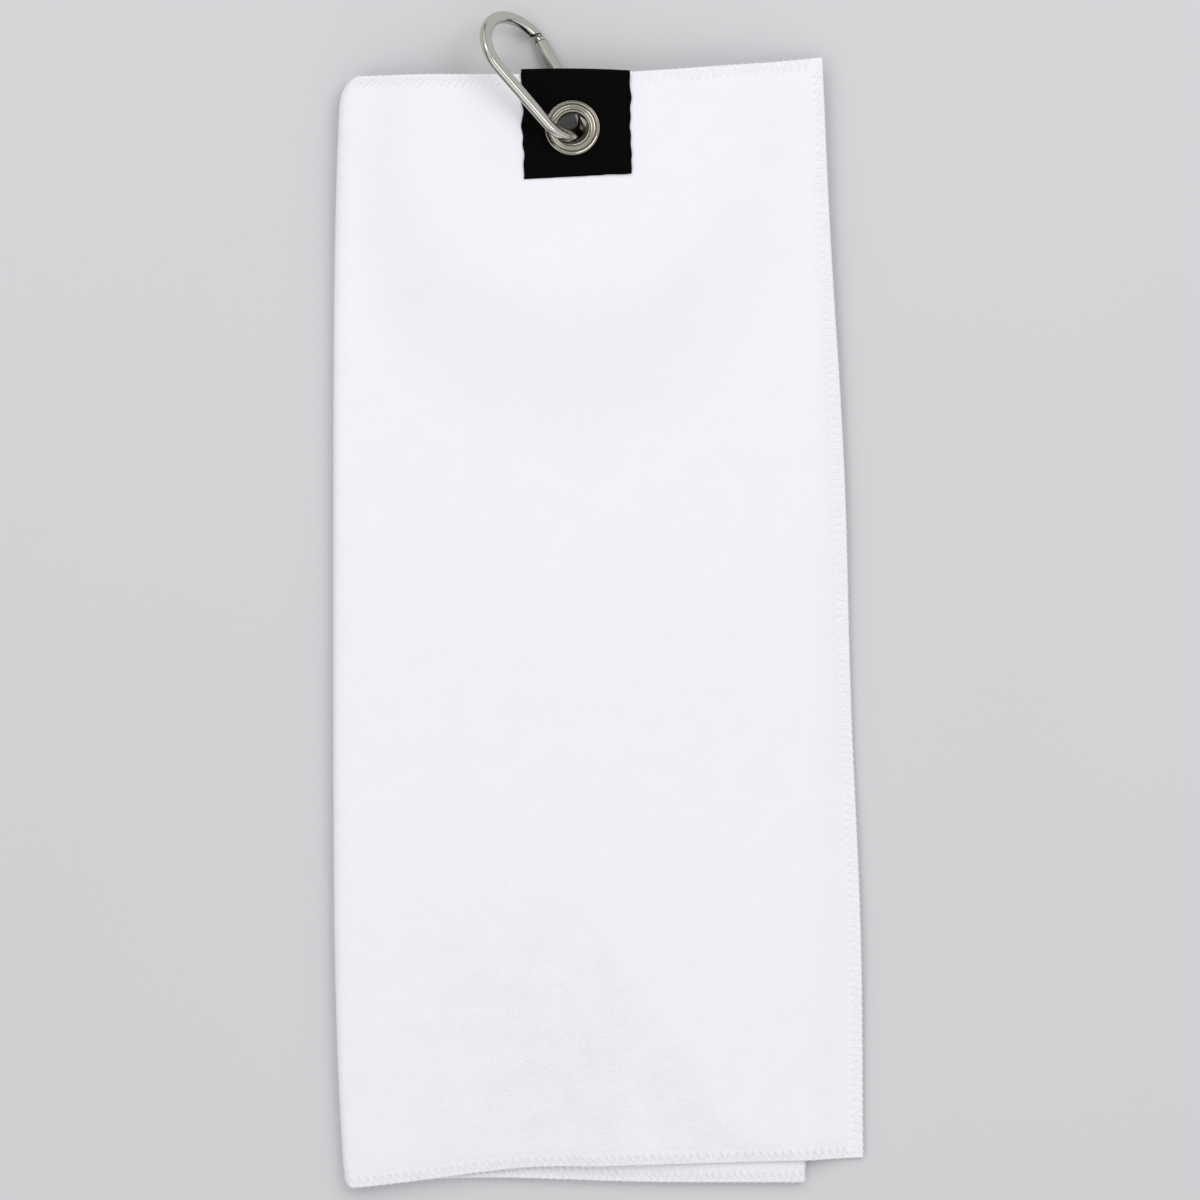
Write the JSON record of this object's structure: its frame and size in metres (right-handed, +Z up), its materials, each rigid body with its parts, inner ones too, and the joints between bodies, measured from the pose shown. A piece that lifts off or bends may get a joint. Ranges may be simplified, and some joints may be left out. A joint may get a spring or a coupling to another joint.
{
  "type": "golf towel",
  "caption": "White microfibre golf towel folded in three, with overlocked edges, a black sewn patch, a metal eyelet and a spring-gate clip through it.",
  "frame": {"origin": "middle of the base of the bounding box, on the surface the towel lies on", "axes": "+Y along the towel toward the clip, +X across it toward the flap's free edge, +Z up out of the front face"},
  "size_m": [0.2192, 0.4836, 0.0293],
  "materials": {
    "towel_fabric": "matte brushed microfibre",
    "edge_thread": "textured polyester overlock thread",
    "patch_fabric": "black woven webbing",
    "patch_thread": "black sewing thread",
    "eyelet_nickel": "polished nickel plate",
    "clip_metal": "satin nickel plate",
    "spring_steel": "bare spring wire"
  },
  "bodies": {
    "towel": {"towel_cloth": "towel_fabric", "top_edge_overlock": "edge_thread", "bottom_edge_overlock": "edge_thread", "flap_edge_overlock": "edge_thread", "inner_edge_overlock": "edge_thread", "patch": "patch_fabric", "patch_stitching_front": "patch_thread", "patch_stitching_back": "patch_thread", "eyelet": "eyelet_nickel", "eyelet_washer": "eyelet_nickel"},
    "clip": {"clip_frame": "clip_metal", "gate_hinge_pin": "clip_metal"},
    "gate": {"gate": "clip_metal", "gate_latch_pin": "clip_metal", "gate_spring": "spring_steel", "gate_plunger": "spring_steel"}
  },
  "joints": [
    {"name": "clip_swing", "type": "hinge", "parent": "towel", "child": "clip", "pos_m": [-0.01092, 0.19318, 0.0141], "axis": [0, 0, 1], "range_deg": [-80, 25]},
    {"name": "gate_opening", "type": "hinge", "parent": "clip", "child": "gate", "pos_m": [-0.0109, 0.20569, 0.00619], "axis": [0.6117, 0.422, 0.6691], "range_deg": [0, 18], "stiffness_Nm_per_rad": 0.05, "springref_deg": -17.19}
  ]
}
